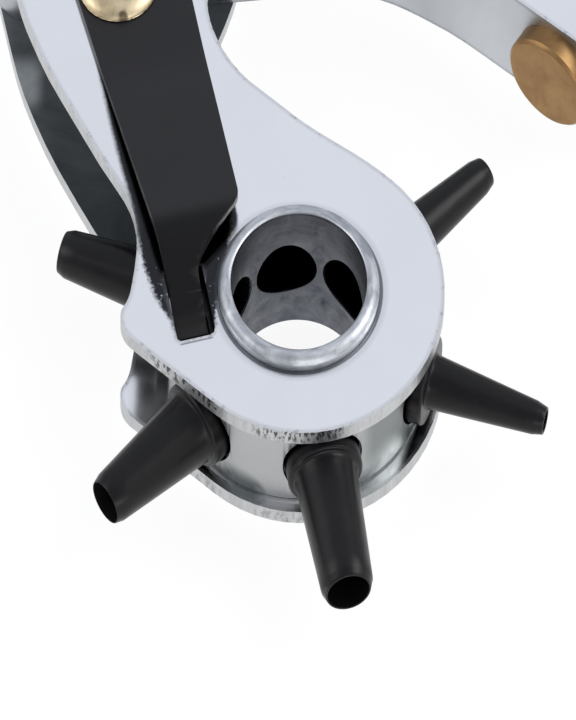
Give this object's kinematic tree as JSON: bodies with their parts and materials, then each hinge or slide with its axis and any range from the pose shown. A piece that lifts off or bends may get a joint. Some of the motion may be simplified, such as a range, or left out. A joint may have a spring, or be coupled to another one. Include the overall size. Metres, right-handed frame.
{
  "type": "rotary hole punch",
  "caption": "Hand pliers with a turret of hollow leather punches that turns between two sheet-steel cheeks, an index spring and a soft anvil on the opposite jaw.",
  "frame": {"origin": "the turret's axis at mid thickness", "axes": "+Z along the turret's axis towards the cheek with the index spring; the levers swing in the X-Y plane; the handles run towards -X +Y"},
  "size_m": [0.1858, 0.2157, 0.0175],
  "materials": {
    "zinc_sheet": "bright zinc plate on sheet steel, satin with fine rolling marks",
    "turned_steel": "zinc-plated turned steel with circular tool marks",
    "black_steel": "black oxide, satin",
    "black_spring": "blackened spring steel, matte",
    "brass": "plain brass, lightly worn",
    "rivet_brass": "yellow-passivated rivet, satin",
    "rivet_steel": "zinc-plated rivet",
    "grip_black": "black dipped vinyl, matte"
  },
  "bodies": {
    "fixed_lever": {"turret_lever": "zinc_sheet", "turret_grip": "grip_black", "pivot_rivet": "rivet_steel", "pivot_bush": "turned_steel", "index_rivet": "rivet_brass", "rivet_spacer": "turned_steel", "opening_spring": "black_spring", "spring_rivet": "rivet_steel"},
    "turret": {"turret_drum": "turned_steel", "punch_2_0_mm": "black_steel", "punch_2_5_mm": "black_steel", "punch_3_0_mm": "black_steel", "punch_3_5_mm": "black_steel", "punch_4_0_mm": "black_steel", "punch_4_5_mm": "black_steel"},
    "anvil_jaw": {"anvil_lever": "zinc_sheet", "anvil": "brass", "anvil_grip": "grip_black"},
    "index_leaf": {"index_spring": "black_spring"}
  },
  "joints": [
    {"name": "turret_turn", "type": "hinge", "parent": "fixed_lever", "child": "turret", "pos_m": [0, 0, 0], "axis": [0, 0, 1], "continuous": true, "deforming": ["index_spring"]},
    {"name": "jaw_close", "type": "hinge", "parent": "fixed_lever", "child": "anvil_jaw", "pos_m": [-0.0215, 0.055, 0], "axis": [0, 0, -1], "range_deg": [0, 12.3], "deforming": ["opening_spring"]},
    {"name": "index_lift", "type": "hinge", "parent": "fixed_lever", "child": "index_leaf", "pos_m": [-0.01882, 0.02449, 0.0066], "axis": [-0.9712, -0.2383, 0], "range_deg": [0, 2.2], "deforming": ["index_spring"]}
  ]
}
